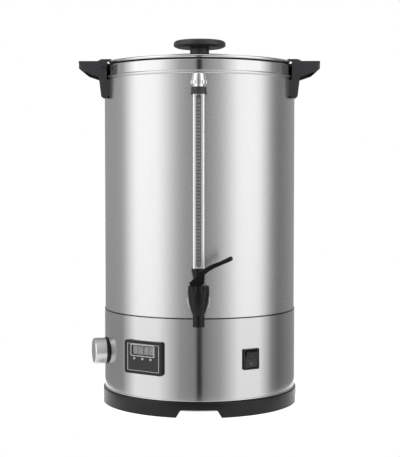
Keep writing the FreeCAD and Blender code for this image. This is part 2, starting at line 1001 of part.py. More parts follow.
def switch_body():
    front = housing_radius + switch_rise
    pivot, middle = switch_pivot()
    bezel = rounded_panel(switch_width, switch_bottom, switch_top, housing_radius - 6, front, switch_corner)
    bezel = soften(bezel, 0.7, lambda c: c.y < -front + 0.01)
    bezel = bezel.cut(upright(housing_radius + pad_gap, 0, 0, switch_bottom - 1, switch_top + 1))
    half_width = switch_body_width / 2
    half_height = rocker_radius + rocker_gap + 1.0
    back = front - switch_body_depth
    rear = box(-half_width, half_width, -front + 1, -back, middle - half_height, middle + half_height)
    body = bezel.fuse(rear).removeSplitter()
    room_half = rocker_width / 2 + rocker_gap
    room = rod(rocker_radius + rocker_gap, (-room_half, -pivot, middle), (room_half, -pivot, middle))
    body = body.cut([room, box(-room_half, room_half, -front - 8, -pivot, middle - rocker_radius - rocker_gap,
                               middle + rocker_radius + rocker_gap)])
    pins = rod(pivot_radius, (-room_half - 0.5, -pivot, middle), (room_half + 0.5, -pivot, middle))
    body = body.fuse(pins).removeSplitter()
    for z in (middle - 8, middle, middle + 8):
        body = body.fuse(box(-tab_width / 2, tab_width / 2, -back, -back + tab_length,
                             z - tab_sheet / 2, z + tab_sheet / 2))
    return about(body, switch_angle)


def switch_rocker():
    """A slice of a round bar about its pivot, its face two flats that meet in a shallow valley."""
    pivot, middle = switch_pivot()
    half = rocker_width / 2
    bar = rod(rocker_radius, (-half, -pivot, middle), (half, -pivot, middle))
    bar = bar.cut(rod(pivot_radius + running_gap, (-half - 1, -pivot, middle), (half + 1, -pivot, middle)))
    bar = bar.cut(box(-half - 1, half + 1, -pivot + rocker_back, -pivot + far, middle - far, middle + far))
    for side in (-1, 1):
        flat = box(-half - 1, half + 1, -pivot - far, -pivot - rocker_face, middle - far, middle + far)
        flat.rotate(Vector(0, -pivot - rocker_face, middle), Vector(1, 0, 0), -side * rocker_dish)
        low, high = (middle - far, middle) if side > 0 else (middle, middle + far)
        bar = bar.cut(flat.common(box(-half - 1, half + 1, -pivot - far, -pivot, low, high)))
    bar.rotate(Vector(0, -pivot, middle), Vector(1, 0, 0), rocker_throw / 2)
    return about(bar, switch_angle)


# Side knob and the control behind it

def side_knob():
    z = knob_z
    knob = turned_forward([
        (0, -knob_face),
        (knob_radius - knob_chamfer, -knob_face),
        (knob_radius, -knob_face + knob_chamfer),
        (knob_radius, -knob_back),
        (knob_radius - knob_skirt_wall, -knob_back),
        (knob_radius - knob_skirt_wall, -knob_face + knob_web),
        (shaft_radius * 2, -knob_face + knob_web),
        (shaft_radius * 2, -knob_back - 2),
        (shaft_radius + weld_gap, -knob_back - 2),
        (shaft_radius + weld_gap, -knob_face + knob_web),
        (0, -knob_face + knob_web),
    ], z)
    return about(knob, knob_angle)


def knob_shaft():
    z = knob_z
    end = housing_radius - housing_wall - control_gap - control_depth + 3
    return about(rod(shaft_radius, (0, -end, z), (0, -knob_face + knob_web, z)), knob_angle)


def knob_ring():
    z = knob_z
    outer = housing_radius + knob_ring_rise
    ring = rod(knob_ring_radius, (0, -outer, z), (0, -outer + 8, z))
    ring = ring.cut([rod(bush_radius + port_gap, (0, -outer - 1, z), (0, -outer + 9, z)),
                     upright(housing_radius + pad_gap, 0, 0, z - 40, z + 40)])
    return about(ring, knob_angle)


def knob_control():
    """The rotary control: a drum inside the housing with a threaded bush out through it."""
    z = knob_z
    wall = housing_radius - housing_wall
    front = wall - control_gap
    back = front - control_depth
    bush_end = housing_radius + 1.2
    body = rod(control_radius, (0, -front, z), (0, -back, z))
    body = body.fuse([rod(bush_radius, (0, -front, z), (0, -bush_end, z)),
                      rod(bush_radius + 3, (0, -front, z), (0, -wall + 0.7, z))]).removeSplitter()
    body = body.cut(rod(shaft_radius + running_gap, (0, -back - 2.8, z), (0, -bush_end - 1, z)))
    for x in (-5, 0, 5):
        body = body.fuse(box(x - 1.2, x + 1.2, -back - 4, -back - 3.2, z - control_radius - 6, z - control_radius + 1))
    return about(body, knob_angle)


# Mains inlet

def cavity_outline():
    half = inlet_cavity_width / 2
    low = inlet_z - inlet_cavity_height / 2
    high = inlet_z + inlet_cavity_height / 2
    c = inlet_cavity_chamfer
    return [(-half, low + c), (-half + c, low), (half - c, low), (half, low + c), (half, high), (-half, high)]


def power_inlet():
    front = housing_radius + inlet_flange_rise
    low = inlet_z - inlet_flange_height / 2
    high = inlet_z + inlet_flange_height / 2
    flange = rounded_panel(inlet_flange_width, low, high, housing_radius - 8, front, inlet_corner)
    flange = flange.cut(upright(housing_radius + pad_gap, 0, 0, low - 1, high + 1))
    half_width = inlet_body_width / 2
    half_height = inlet_body_height / 2
    rear = box(-half_width, half_width, -front + 1, -front + inlet_body_depth, inlet_z - half_height,
               inlet_z + half_height)
    body = flange.fuse(rear).removeSplitter()
    cavity = side_plate(cavity_outline(), -front - 1, -front + inlet_cavity_depth)
    body = body.cut(cavity)
    for side in (-1, 1):
        x = side * inlet_screw_pitch
        body = body.cut(rod(screw_radius + port_gap, (x, -front - 1, inlet_z), (x, -front + 12, inlet_z)))
    for x, z in inlet_pin_places():
        body = body.cut(inlet_pin(x, z, weld_gap))
    return about(body, 180)


def inlet_pin_places():
    pitch = inlet_pin_pitch
    low = inlet_z - inlet_earth_rise / 2
    return [(-pitch, low), (0.0, low + inlet_earth_rise), (pitch, low)]


def inlet_pin(x, z, gap=0.0):
    front = housing_radius + inlet_flange_rise
    root = -front + inlet_cavity_depth
    half_width = inlet_pin_width / 2 + gap
    half_height = inlet_pin_height / 2 + gap
    return box(x - half_width, x + half_width, root - inlet_pin_length, -front + inlet_body_depth + 8,
               z - half_height, z + half_height)


def inlet_pins():
    return [about(inlet_pin(x, z), 180) for x, z in inlet_pin_places()]


def screw_back(x, z, seat, length):
    """A pan head screw that goes into the housing from outside, along +Y."""
    head = rod(screw_head_radius, (x, -seat - screw_head_height * 0.7, z), (x, -seat, z))
    head = soften(head, 0.8, lambda c: c.y < -seat - 1)
    return head.fuse(rod(screw_radius, (x, -seat, z), (x, -seat + length, z))).removeSplitter()


def inlet_screws():
    seat = housing_radius + inlet_flange_rise
    return [about(screw_back(side * inlet_screw_pitch, inlet_z, seat, 12), 180) for side in (-1, 1)]


# Side handles

def handle_profile():
    return [
        (120.0, handle_top),
        (handle_reach - 3.0, handle_top),
        ((handle_reach - 0.6, handle_top - 0.5), (handle_reach, handle_nose_top - 1.5)),
        (handle_reach, handle_nose_bottom),
        (handle_reach - handle_chin_inset, handle_chin),
        (crotch_reach, crotch_height),
        (leg_reach, leg_bottom),
        (leg_tip_reach, leg_tip),
        (120.0, leg_bottom),
    ]


def grip_pocket():
    """The hollow under the grip that the fingers go into, open below."""
    t = handle_wall
    half = handle_half_length - t
    path = [
        (crotch_reach + 0.6, crotch_height - 12),
        (crotch_reach + 1.6, handle_top - t),
        (handle_reach - t, handle_top - t),
        (handle_reach - t, handle_chin - 12),
    ]
    return side_plate(path, -half, half)


def handle_right_shape():
    half = handle_half_length
    block = side_plate(handle_profile(), -half, half)
    nose = [e for e in block.Edges if e.CenterOfMass.x > handle_reach - 0.3 and abs(e.CenterOfMass.y) > half - 0.1]
    block = block.makeFillet(handle_corner, nose)
    block = block.cut(grip_pocket())
    block = block.cut(upright(bore_radius, 0, 0, leg_tip - 5, lip_top + 5))
    pad = pipe(bore_radius, tank_radius + pad_gap, (0, 0, pad_bottom), (0, 0, pad_top))
    pad = pad.common(box(60, far, -pad_half_length, pad_half_length, pad_bottom, pad_top))
    lip = pipe(bore_radius + 8, lip_radius, (0, 0, lip_bottom), (0, 0, lip_top))
    lip = lip.common(box(60, far, -half, half, lip_bottom, lip_top))
    step = pipe(bore_radius + 8, bore_radius, (0, 0, handle_top - 1), (0, 0, lip_bottom + 0.5))
    step = step.common(box(60, far, -half, half, handle_top - 1, lip_bottom + 0.5))
    handle = joined([block, pad, step, lip])
    for spread in (-handle_screw_spread, handle_screw_spread):
        direction = handle_screw_axis(1, spread)
        hole = rod(handle_screw_radius + screw_bite, along(direction, tank_radius - 3, handle_screw_height),
                   along(direction, tank_radius + 4.4, handle_screw_height))
        handle = handle.cut(hole)
    return handle


def handle_slot():
    """The small recess in the left handle's front wall, beside the lid's rim."""
    inner = math.sqrt(bore_radius ** 2 - handle_half_length ** 2)
    y = -handle_half_length
    return box(-inner - slot_length, -inner + 6, y - 1, y + slot_depth, slot_bottom, slot_bottom + slot_height)


def handle_screws():
    screws = []
    for direction in handle_screw_places():
        z = handle_screw_height
        seat = inner_radius - washer_thickness
        head = rod(handle_screw_head, along(direction, seat - handle_screw_head_height, z),
                   along(direction, seat, z))
        shank = rod(handle_screw_radius, along(direction, seat, z), along(direction, tank_radius + 4.2, z))
        screws.append(head.fuse(shank).removeSplitter())
    return screws


def handle_washers():
    washers = []
    for direction in handle_screw_places():
        z = handle_screw_height
        ring = pipe(handle_screw_head + 0.8, handle_screw_radius + thread_gap,
                    along(direction, inner_radius - washer_thickness, z), along(direction, tank_radius, z))
        washers.append(ring.common(upright(inner_radius - weld_gap, 0, 0, z - 20, z + 20)))
    return washers


# Lid

def lid():
    roll = lid_rim_height / 2
    rim_middle = lid_bottom + roll
    thin = lid_sheet
    shoulder = lid_shoulder_radius
    skirt_in = lid_skirt_radius - thin
    skirt_end = lid_bottom - lid_skirt_depth
    roll_r = lid_rim_radius - roll
    meet = roll_r - math.sqrt(roll ** 2 - (roll - thin) ** 2)
    middle = (shoulder + lid_seat_radius) / 2
    middle_top = lid_bottom + thin + (lid_crown_rise - thin) * lid_crown_fullness
    plate = turned([
        (0, lid_crown - thin),
        (lid_seat_radius, lid_crown - thin),
        ((middle - 0.3, middle_top - thin), (lid_skirt_radius - 0.2, lid_bottom + 0.6)),
        (skirt_in, lid_bottom + 0.2),
        (skirt_in, skirt_end),
        (lid_skirt_radius, skirt_end),
        ((lid_skirt_radius + lid_skirt_bead, skirt_end + lid_skirt_bead),
         (lid_skirt_radius, skirt_end + 2 * lid_skirt_bead)),
        (lid_skirt_radius, lid_bottom),
        (roll_r, lid_bottom),
        ((lid_rim_radius, rim_middle), (roll_r, lid_rim_top)),
        ((roll_r - roll * math.sqrt(0.5), lid_rim_top - roll * (1 - math.sqrt(0.5))),
         (meet - 0.45, lid_bottom + thin)),
        (shoulder, lid_bottom + thin),
        ((middle, middle_top), (lid_seat_radius, lid_crown)),
        (0, lid_crown),
    ])
    cuts = [upright(lid_screw_radius + port_gap, 0, 0, lid_crown - 5, lid_crown + 1),
            upright(lid_vent_radius, 0, lid_vent_place, lid_bottom, lid_crown)]
    half = handle_half_length + notch_side_gap
    ring = pipe(lid_rim_radius + 5, notch_radius, (0, 0, lid_bottom - 1), (0, 0, lid_rim_top + 1))
    for side in (-1, 1):
        x0, x1 = sorted((side * 60, side * far))
        cuts.append(ring.common(box(x0, x1, -half, half, lid_bottom - 1, lid_rim_top + 1)))
    return plate.cut(cuts)


def lid_gasket():
    top = lid_bottom - gasket_gap
    bottom = rim_top + gasket_gap
    inner = lid_skirt_radius + gasket_gap
    lip_end = lid_bottom - gasket_lip_depth
    lip = inner + gasket_lip
    return turned([
        (inner, lip_end),
        (lip, lip_end),
        (lip, bottom),
        (gasket_outer - 0.5, bottom),
        ((gasket_outer, (top + bottom) / 2), (gasket_outer - 0.5, top)),
        (inner, top),
    ])


def lid_knob():
    base = lid_crown
    under = base + knob_stem_height
    side_low = under + 2.4
    side_high = side_low + knob_disc_edge
    top = base + knob_disc_top
    edge_top = top - knob_dish
    knob = turned([
        (0, base),
        (knob_stem_radius, base),
        (knob_stem_radius, under - 0.8),
        (knob_stem_radius + 2.4, under),
        (knob_disc_radius - 12, under),
        ((knob_disc_radius - 3.4, under + 0.9), (knob_disc_radius, side_low + 0.5)),
        (knob_disc_radius, side_high - 1.0),
        ((knob_disc_radius - 1.6, edge_top - 1.1), (knob_disc_radius - 5.5, edge_top)),
        (crown_middle(knob_disc_radius - 5.5, edge_top, top), (0, top)),
    ])
    return knob.cut(upright(lid_screw_radius + screw_bite, 0, 0, base - 1, base + lid_screw_length - 2))


def lid_screw():
    seat = lid_crown - lid_sheet
    return screw_up(0, 0, seat, lid_screw_radius, lid_screw_head, 3.0, lid_screw_length - 2)


# Level gauge

def gauge_guard():
    half = guard_width / 2
    front = gauge_y - guard_front
    back = gauge_y + guard_back
    outer = box(-half, half, front, back, guard_bottom, guard_top)
    corners = [e for e in outer.Edges if abs(e.tangentAt(e.FirstParameter).z) > 0.9 and e.CenterOfMass.y < front + 0.1]
    outer = outer.makeFillet(guard_corner, corners)
    inner = box(-half + guard_sheet, half - guard_sheet, front + guard_sheet, back + 1,
                guard_bottom - 1, guard_top + 1)
    corners = [e for e in inner.Edges
               if abs(e.tangentAt(e.FirstParameter).z) > 0.9 and e.CenterOfMass.y < front + guard_sheet + 0.1]
    inner = inner.makeFillet(guard_corner - guard_sheet, corners)
    slot_half = guard_slot_width / 2
    low = guard_bottom + guard_slot_end + slot_half
    high = guard_top - slot_half - 0.6
    slot = box(-slot_half, slot_half, front - 1, gauge_y, low, high)
    slot = slot.fuse([rod(slot_half, (0, front - 1, low), (0, gauge_y, low)),
                      rod(slot_half, (0, front - 1, high), (0, gauge_y, high))])
    return outer.cut([inner, slot])


def sight_glass():
    return pipe(glass_radius, glass_radius - glass_wall, (0, gauge_y, glass_bottom), (0, gauge_y, glass_top))


def gauge_scale():
    """A strip behind the glass with raised marks, every fifth one wider."""
    half = scale_width / 2
    back = gauge_y + guard_back
    strip = box(-half, half, back - scale_sheet, back, guard_bottom, guard_top)
    ticks = [strip]
    for i in range(scale_steps + 1):
        z = scale_first + i * scale_pitch
        reach = half - 0.8 if i % scale_major == 0 else half * 0.45
        tick = box(-half + 0.8, reach, back - scale_sheet - scale_tick_rise, back - scale_sheet,
                   z - scale_tick / 2, z + scale_tick / 2)
        ticks.append(tick)
    return joined(ticks)


def collar_arm_z():
    return (guard_top + collar_top) / 2


def gauge_collar():
    """The black collar that holds the guard's top, with an arm back to the tank."""
    z0 = guard_top
    z1 = collar_top
    bore = glass_radius + port_gap
    ring = turned([
        (bore, z0),
        (collar_radius + collar_flange_rise, z0),
        (collar_radius + collar_flange_rise, z0 + collar_flange),
        (collar_radius, z0 + collar_flange + 0.8),
        (collar_radius, z1 - 1.2),
        ((collar_radius - 0.35, z1 - 0.35), (collar_radius - 1.2, z1)),
        (bore, z1),
    ], 0, gauge_y)
    half = collar_arm_width / 2
    middle = collar_arm_z()
    arm = box(-half, half, gauge_y + glass_radius + 1.5, -tank_radius + 10, middle - collar_arm_height / 2,
              middle + collar_arm_height / 2)
    arm = arm.cut(upright(tank_radius + pad_gap, 0, 0, z0 - 1, z1 + 1))
    collar = ring.fuse(arm).removeSplitter()
    return collar.cut(rod(screw_radius + screw_bite, (0, -tank_radius - 9, middle), (0, -tank_radius + 5, middle)))


def gauge_screw():
    z = collar_arm_z()
    seat = -inner_radius + washer_thickness
    head = rod(screw_head_radius, (0, seat + screw_head_height, z), (0, seat, z))
    return head.fuse(rod(screw_radius, (0, seat, z), (0, -tank_radius - 8, z))).removeSplitter()


def scalloped(shape, x, y, radius, count, cut_radius, depth, z0, z1):
    for i in range(count):
        a = math.radians(360.0 * (i + 0.5) / count)
        reach = radius + cut_radius - depth
        shape = shape.cut(upright(cut_radius, x + reach * math.cos(a), y + reach * math.sin(a), z0 - 1, z1 + 1))
    return shape


def gauge_ring():
    """The lobed nut under the cap, with the plain neck below it."""
    bore = glass_radius + port_gap
    ring = pipe(ring_radius, bore, (0, gauge_y, neck_top), (0, gauge_y, ring_top))
    ring = scalloped(ring, 0, gauge_y, ring_radius, ring_scallops, ring_scallop_radius, ring_scallop_depth,
                     neck_top, ring_top)
    neck = pipe(neck_radius, bore, (0, gauge_y, collar_top), (0, gauge_y, neck_top))
    return joined([ring, neck])


def gauge_cap():
    z0 = ring_top
    z1 = cap_top
    return turned([
        (0, z0),
        (cap_radius, z0),
        (cap_radius, z0 + 2.5),
        (cap_top_radius + 0.3, z1 - cap_edge - 0.6),
        ((cap_top_radius - 0.5, z1 - 0.9), (cap_top_radius - 2.6, z1 - 0.3)),
        (0, z1),
    ], 0, gauge_y)


def gauge_cup():
    """The cup under the guard: it screws on the tee's neck and squeezes the lower seal."""
    z0 = cup_bottom
    z1 = guard_bottom
    seal_top = tee_neck_top + seal_height
    neck = tee_neck_radius + thread_gap
    bore = glass_radius + port_gap
    return turned([
        (neck, z0),
        (cup_bottom_radius, z0),
        ((cup_bottom_radius + 1.0, z0 + 6.5), (cup_top_radius, z1 - cup_rim)),
        (cup_top_radius, z1),
        (bore, z1),
        (bore, seal_top),
        (neck, seal_top),
    ], 0, gauge_y)


def gauge_seal():
    bore = glass_radius + seal_gap / 2
    return pipe(tee_neck_radius, bore, (0, gauge_y, tee_neck_top), (0, gauge_y, tee_neck_top + seal_height))


def gauge_tee():
    """Shank through the tank wall, a cross body and the neck that takes the sight glass."""
    front = gauge_y - tee_half_length
    back = gauge_y + tee_half_length
    shank = rod(shank_radius, (0, front, shank_z), (0, shank_inner_end, shank_z))
    body = rod(tee_radius, (0, front, shank_z), (0, back, shank_z))
    body = body.makeFillet(1.0, [e for e in body.Edges if e.Curve.TypeId == "Part::GeomCircle"])
    neck = upright(tee_neck_radius, 0, gauge_y, shank_z, tee_neck_top)
    tee = joined([shank, body, neck])
    cuts = [rod(shank_bore, (0, front - 1, shank_z), (0, shank_inner_end + 1, shank_z)),
            rod(spigot_radius + thread_gap, (0, front - 1, shank_z), (0, front + spigot_length + 0.2, shank_z)),
            upright(glass_radius + seal_gap, 0, gauge_y, glass_bottom, tee_neck_top + 1),
            upright(glass_radius - glass_wall, 0, gauge_y, shank_z, glass_bottom)]
    return tee.cut(cuts)


# Tap

def tap_flange():
    """The round rosette on the tank wall."""
    bore = shank_radius + thread_gap
    back = -tank_radius - washer_thickness
    front = back - flange_depth
    return turned_forward([
        (bore, back),
        (flange_radius, back),
        (flange_radius, back - flange_edge),
        ((flange_radius - 1.2, front + 1.4), (flange_radius - 5, front)),
        (bore, front),
    ], shank_z)


def tap_washers():
    bore = shank_radius + thread_gap
    outside = pipe(flange_radius - 1, bore, (0, -tank_radius - washer_thickness, shank_z),
                   (0, -tank_radius + 6, shank_z))
    outside = outside.cut(upright(tank_radius, 0, 0, shank_z - 30, shank_z + 30))
    inside = pipe(nut_flat_radius, bore, (0, -tank_radius, shank_z), (0, tap_nut_front(), shank_z))
    inside = inside.common(upright(inner_radius - weld_gap, 0, 0, shank_z - 30, shank_z + 30))
    return [outside, inside]


def tap_nut_front():
    return -inner_radius + washer_thickness + 0.6


def tap_nut():
    front = tap_nut_front()
    path = polygon(6, nut_flat_radius)
    nut = side_plate([(x, shank_z + z) for x, z in path], front, front + nut_thickness)
    return nut.cut(rod(shank_radius + thread_gap, (0, front - 1, shank_z), (0, front + nut_thickness + 1, shank_z)))


def tap_body():
    """The casting: a flared body that narrows to a straight spout, and the inlet spigot behind."""
    body = turned([
        (0, spout_bottom),
        (spout_radius + spout_lip, spout_bottom),
        (spout_radius + spout_lip, spout_bottom + spout_lip_height),
        (spout_radius, spout_bottom + spout_lip_height + 0.3),
        (spout_radius, spout_top),
        ((cone_mid_radius, cone_mid_height), (body_top_radius, body_top - 1.5)),
        (body_top_radius, body_top),
        (0, body_top),
    ], 0, tap_y)
    front = gauge_y - tee_half_length
    inlet = rod(shank_radius, (0, tap_y, shank_z), (0, front, shank_z))
    spigot = rod(spigot_radius, (0, front - 1, shank_z), (0, front + spigot_length, shank_z))
    body = joined([body, inlet, spigot])
    seat = seat_height
    cuts = [upright(spout_bore, 0, tap_y, spout_bottom - 1, seat + 1),
            upright(chamber_radius, 0, tap_y, seat, body_top + 1),
            rod(spigot_bore, (0, tap_y, shank_z + spigot_bore_rise),
                (0, front + spigot_length + 1, shank_z + spigot_bore_rise))]
    return body.cut(cuts)


def tap_bonnet():
    """The crown nut: eight recesses, deeper towards the top, and a bore for the stem."""
    z0 = bonnet_bottom
    z1 = bonnet_top
    room = spring_room_radius
    spigot = chamber_radius - thread_gap
    spigot_end = body_top - bonnet_spigot_depth
    bonnet = turned([
        (stem_radius + running_gap, z1),
        (stem_radius + running_gap, spring_room_top),
        (room, spring_room_top),
        (room, spigot_end),
        (spigot, spigot_end),
        (spigot, body_top),
        (body_top_radius - 0.5, body_top),
        (body_top_radius - 0.5, z0),
        (bonnet_radius, z0),
        (bonnet_radius, z0 + 3),
        (bonnet_top_radius, z1 - bonnet_edge),
        ((bonnet_top_radius - 0.35, z1 - 0.35), (bonnet_top_radius - bonnet_edge, z1)),
    ], 0, tap_y)
    cuts = []
    for i in range(bonnet_scallops):
        a = math.radians(360.0 * (i + 0.5) / bonnet_scallops)
        top_reach = bonnet_top_radius + bonnet_scallop_radius - bonnet_scallop_depth
        low_reach = bonnet_radius + bonnet_scallop_radius
        rise = bonnet_scallop_height
        slope = (low_reach - top_reach) / rise
        high = (top_reach - 2 * slope) * math.cos(a), tap_y + (top_reach - 2 * slope) * math.sin(a), z1 + 2
        low = (low_reach + 2 * slope) * math.cos(a), tap_y + (low_reach + 2 * slope) * math.sin(a), z1 - rise - 2
        cuts.append(rod(bonnet_scallop_radius, low, high))
    return bonnet.cut(cuts)


def seat_cup():
    """The silicone cup that closes the seat, with a pocket for the stem's button."""
    z0 = cup_bottom_z
    z1 = cup_hub_top
    pocket_bottom = z0 + cup_seal_thickness + 0.6
    pocket_top = pocket_bottom + stem_button_height + 2 * running_gap
    return turned([
        (0, z0),
        (cup_seal_radius, z0),
        (cup_seal_radius, z0 + cup_seal_thickness * 0.6),
        ((cup_hub_radius + 0.9, z0 + cup_seal_thickness + 0.5), (cup_hub_radius, z0 + cup_seal_thickness + 2.0)),
        (cup_hub_radius, z1),
        (stem_radius + running_gap, z1),
        (stem_radius + running_gap, pocket_top),
        (stem_button_radius + running_gap, pocket_top),
        (stem_button_radius + running_gap, pocket_bottom),
        (0, pocket_bottom),
    ], 0, tap_y)


def tap_stem():
    button_bottom = cup_bottom_z + cup_seal_thickness + 0.6 + running_gap
    button_top = button_bottom + stem_button_height
    stem = joined([upright(stem_button_radius, 0, tap_y, button_bottom, button_top),
                   upright(stem_radius, 0, tap_y, button_bottom, pin_z)])
    tongue_low = bonnet_top - tongue_depth
    head = rod(stem_radius, (0, tap_y - tongue_half, pin_z), (0, tap_y + tongue_half, pin_z))
    stem = stem.fuse(head).removeSplitter()
    for side in (-1, 1):
        y0, y1 = sorted((tap_y + side * tongue_half, tap_y + side * 10))
        stem = stem.cut(box(-10, 10, y0, y1, tongue_low, pin_z + 10))
    return stem.cut(rod(pin_radius + weld_gap, (0, tap_y - 10, pin_z), (0, tap_y + 10, pin_z)))


def lever_pin():
    half = lever_half_width - 0.3
    return rod(pin_radius, (0, tap_y - half, pin_z), (0, tap_y + half, pin_z))


def lever_profile():
    """Side view of the lever, measured from its pin: toe, flat foot, cam, bar and rounded tip."""
    foot = cam_offset_z - cam_radius
    cam_slant = cam_radius * math.sqrt(0.5)
    path = [
        (-lever_toe, -0.55), (-lever_toe + 1.6, foot), (cam_offset_x, foot),
        ((cam_offset_x + cam_slant, cam_offset_z - cam_slant), (cam_offset_x + cam_radius, cam_offset_z)),
        (8.4, 10.75),
        ((17.0, 17.15), (29.0, 23.15)),
        (lever_reach - 2.4, lever_tip_rise - 3.0),
        ((lever_reach, lever_tip_rise), (lever_reach - 2.8, lever_tip_rise + 3.2)),
        (29.0, 28.75),
        ((9.0, 20.15), (-1.0, 13.75)),
        ((-5.6, 6.95), (-lever_toe, -0.55)),
    ]
    return path


def lever_plan():
    """The lever seen from above: a head, a waist and a wider round pad."""
    y = tap_y
    return [
        (-16, y - lever_half_width), (8, y - lever_half_width),
        ((20, y - lever_waist), (34, y - lever_waist - 0.4)),
        ((38, y - lever_waist - 1.2), (42, y - lever_pad)),
        ((lever_reach, y), (42, y + lever_pad)),
        ((38, y + lever_waist + 1.2), (34, y + lever_waist + 0.4)),
        ((20, y + lever_waist), (8, y + lever_half_width)),
        (-16, y + lever_half_width),
    ]


def tap_lever():
    face = outline(lever_profile(), lambda x, z: Vector(x, tap_y - 8, pin_z + z))
    bar = face.extrude(Vector(0, 16, 0))
    lever = bar.common(flat_plate(lever_plan(), pin_z - 20, pin_z + 60))
    gap = tongue_half + tongue_gap
    slot = box(-stem_radius - 0.8, 14, tap_y - gap, tap_y + gap, foot_bottom - 3, pin_z + stem_radius + 0.8)
    hole = rod(pin_radius + running_gap, (0, tap_y - 10, pin_z), (0, tap_y + 10, pin_z))
    return lever.cut([slot, hole])


def tap_spring():
    """A wound spring between the bonnet and the seat cup, each half turn a round arc in its own leaning plane."""
    low = cup_hub_top + spring_wire + 0.1
    high = spring_room_top - spring_wire - 0.1
    step = (high - low) / (2 * spring_turns)
    halves = []
    for i in range(2 * spring_turns):
        side = 1 if i % 2 == 0 else -1
        start = Vector(side * spring_radius, tap_y, low + i * step)
        middle = Vector(0, tap_y, low + (i + 0.5) * step)
        disc = Part.Face(Part.Wire(Part.makeCircle(spring_wire, start, Vector(0, 1, 0))))
        axis = Vector(step * side, 0, 2 * spring_radius)
        halves.append(disc.revolve(middle, axis, 180))
    return joined(halves)


# Everything, by name

def build():
    keep("base_ring", base_ring())
    keep("bottom_plate", bottom_plate())
    keep("case_screws", *base_screws(), *housing_screws(), *inlet_screws(), gauge_screw())
    keep("lower_housing", lower_housing())
    keep("tank", tank())
    keep("tank_floor", tank_floor())
    keep("heater_tube", heater_tube())
    keep("heater_glands", *heater_glands())
    keep("water_seals", *heater_seals(), gauge_seal())
    keep("floor_nuts", *heater_nuts(), probe_nut())
    keep("temperature_probe", temperature_probe())
    keep("boil_dry_thermostat", boil_dry_thermostat())
    keep("thermostat_clip", thermostat_clip())
    keep("board_posts", *board_posts())
    keep("control_board", control_board())
    keep("board_relay", board_relay())
    keep("board_transformer", board_transformer())
    keep("terminal_block", terminal_block())
    keep("controller_case", controller_case())
    keep("controller_face", controller_face())
    keep("controller_board", controller_board())
    keep("display_lens", display_lens())
    keep("display_module", display_module())
    for name, x in zip(("button_left", "button_middle", "button_right"), button_places):
        keep(name, button(x))
    keep("switch_body", switch_body())
    keep("switch_rocker", switch_rocker())
    keep("side_knob", side_knob())
    keep("knob_shaft", knob_shaft())
    keep("knob_ring", knob_ring())
    keep("knob_control", knob_control())
    keep("power_inlet", power_inlet())
    keep("inlet_pins", *inlet_pins())
    right = handle_right_shape()
    left = right.mirror(Vector(0, 0, 0), Vector(1, 0, 0)).cut(handle_slot())
    keep("handle_right", right)
    keep("handle_left", left)
    keep("handle_screws", *handle_screws())
    keep("lid", lid())
    keep("lid_gasket", lid_gasket())
    keep("lid_knob", lid_knob())
    keep("lid_screw", lid_screw())
    keep("gauge_guard", gauge_guard())
    keep("sight_glass", sight_glass())
    keep("gauge_scale", gauge_scale())
    keep("gauge_collar", gauge_collar())
    keep("gauge_ring", gauge_ring())
    keep("gauge_cap", gauge_cap())
    keep("gauge_cup", gauge_cup())
    keep("gauge_tee", gauge_tee())
    keep("tap_flange", tap_flange())
    keep("tank_washers", *tap_washers(), *handle_washers())
    keep("tap_nut", tap_nut())
    keep("tap_body", tap_body())
    keep("tap_bonnet", tap_bonnet())
    keep("seat_cup", seat_cup())
    keep("tap_stem", tap_stem())
    keep("lever_pin", lever_pin())
    keep("tap_lever", tap_lever())
    keep("tap_spring", tap_spring())


def write():
    os.makedirs("parts", exist_ok=True)
    for name, shape in parts.items():
        shape.exportStep("parts/" + name + ".step")
        sound = "" if shape.isValid() and shape.Volume > 0 else "not sound"
        print(name, len(shape.Solids), round(shape.Volume, 1), sound)
    print("nodes", len(parts))


build()
write()
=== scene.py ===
# %% The frame
import bpy
import math
from mathutils import Matrix, Vector


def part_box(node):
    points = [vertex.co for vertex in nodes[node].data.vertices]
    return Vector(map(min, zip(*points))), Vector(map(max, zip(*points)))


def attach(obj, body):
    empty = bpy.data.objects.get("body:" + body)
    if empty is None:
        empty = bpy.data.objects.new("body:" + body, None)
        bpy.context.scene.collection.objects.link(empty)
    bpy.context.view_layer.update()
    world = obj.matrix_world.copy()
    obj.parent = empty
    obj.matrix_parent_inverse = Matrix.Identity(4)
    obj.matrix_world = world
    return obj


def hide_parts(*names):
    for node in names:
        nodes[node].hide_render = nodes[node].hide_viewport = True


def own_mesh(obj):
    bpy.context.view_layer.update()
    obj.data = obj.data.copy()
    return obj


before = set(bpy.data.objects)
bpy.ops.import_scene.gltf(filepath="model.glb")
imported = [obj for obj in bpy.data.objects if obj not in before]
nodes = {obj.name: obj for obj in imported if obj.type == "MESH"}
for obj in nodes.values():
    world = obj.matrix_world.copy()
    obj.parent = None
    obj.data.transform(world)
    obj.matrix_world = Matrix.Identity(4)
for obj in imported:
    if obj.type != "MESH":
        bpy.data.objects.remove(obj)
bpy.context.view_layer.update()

mm = 0.001
micron = 0.001 * mm
bpy.ops.object.select_all(action="DESELECT")
print("solids of the urn:", len(nodes))

# %% [markdown]
# # A hot water urn
# The solids of the urn are already in place, each a closed shape with its true size. What they lack
# is a finish: satin and brushed steel, black plastic, clear tube, and the printed marks. This
# lesson gives every solid its finish, adds the small pieces that lie on the solids, and then
# builds a plain studio round the urn.
#
# A finish is a tree of nodes. Writing each node by hand is long, so two small classes help.
# A Wire stands for one output socket, and a sum of wires adds the Math node by itself.

